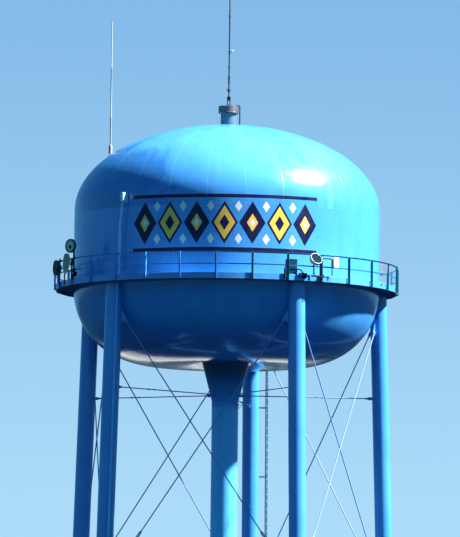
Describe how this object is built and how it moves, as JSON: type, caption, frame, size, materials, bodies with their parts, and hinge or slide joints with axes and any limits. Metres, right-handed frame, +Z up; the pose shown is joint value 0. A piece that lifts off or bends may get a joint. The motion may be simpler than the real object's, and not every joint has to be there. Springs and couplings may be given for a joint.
{
  "type": "elevated water tank",
  "caption": "Elevated steel water tank with a domed roof, central riser, leaning tubular legs, crossed tie rods, a railed balcony, a ladder and roof and railing aerials.",
  "frame": {"origin": "on the ground under the centre of the riser, at the underside of the riser's foot", "axes": "+Z up along the riser; -Y towards the front bay between two legs, with one leg straight back at +Y; +X to the right"},
  "size_m": [15.417, 15.2127, 37.9],
  "materials": {
    "blue_paint": "gloss",
    "grey_metal": "dull galvanized",
    "dark_metal": "satin",
    "white_plastic": "semi-gloss"
  },
  "bodies": {
    "root": {"roof_dome": "blue_paint", "shell_upper_course": "blue_paint", "shell_lower_course": "blue_paint", "tank_bottom": "blue_paint", "riser_cone": "blue_paint", "riser_pipe": "blue_paint", "front_right_leg": "blue_paint", "right_leg": "blue_paint", "back_leg": "blue_paint", "left_leg": "blue_paint", "front_left_leg": "blue_paint", "right_front_upper_rod_a": "blue_paint", "right_front_upper_rod_b": "blue_paint", "right_front_lower_rod_a": "blue_paint", "right_front_lower_rod_b": "blue_paint", "right_front_strut": "blue_paint", "right_back_upper_rod_a": "blue_paint", "right_back_upper_rod_b": "blue_paint", "right_back_lower_rod_a": "blue_paint", "right_back_lower_rod_b": "blue_paint", "right_back_strut": "blue_paint", "left_back_upper_rod_a": "blue_paint", "left_back_upper_rod_b": "blue_paint", "left_back_lower_rod_a": "blue_paint", "left_back_lower_rod_b": "blue_paint", "left_back_strut": "blue_paint", "left_front_upper_rod_a": "blue_paint", "left_front_upper_rod_b": "blue_paint", "left_front_lower_rod_a": "blue_paint", "left_front_lower_rod_b": "blue_paint", "left_front_strut": "blue_paint", "front_upper_rod_a": "blue_paint", "front_upper_rod_b": "blue_paint", "front_lower_rod_a": "blue_paint", "front_lower_rod_b": "blue_paint", "front_strut": "blue_paint", "front_right_riser_stay": "blue_paint", "right_riser_stay": "blue_paint", "back_riser_stay": "blue_paint", "left_riser_stay": "blue_paint", "front_left_riser_stay": "blue_paint", "balcony_floor": "blue_paint", "railing": "blue_paint", "back_leg_ladder": "blue_paint", "overflow_pipe_upper": "blue_paint", "overflow_pipe_lower": "blue_paint", "roof_vent": "blue_paint", "vent_cap": "grey_metal", "roof_mast": "dark_metal", "whip_aerial": "white_plastic", "left_aerial_pole": "grey_metal", "left_drum_aerial": "dark_metal", "left_grey_aerial": "grey_metal", "left_dark_aerial": "dark_metal", "right_dish_aerial": "white_plastic", "right_aerial_frame": "grey_metal", "right_white_aerial": "white_plastic", "right_panel_aerial": "dark_metal", "equipment_cabinet": "blue_paint"}
  },
  "joints": []
}
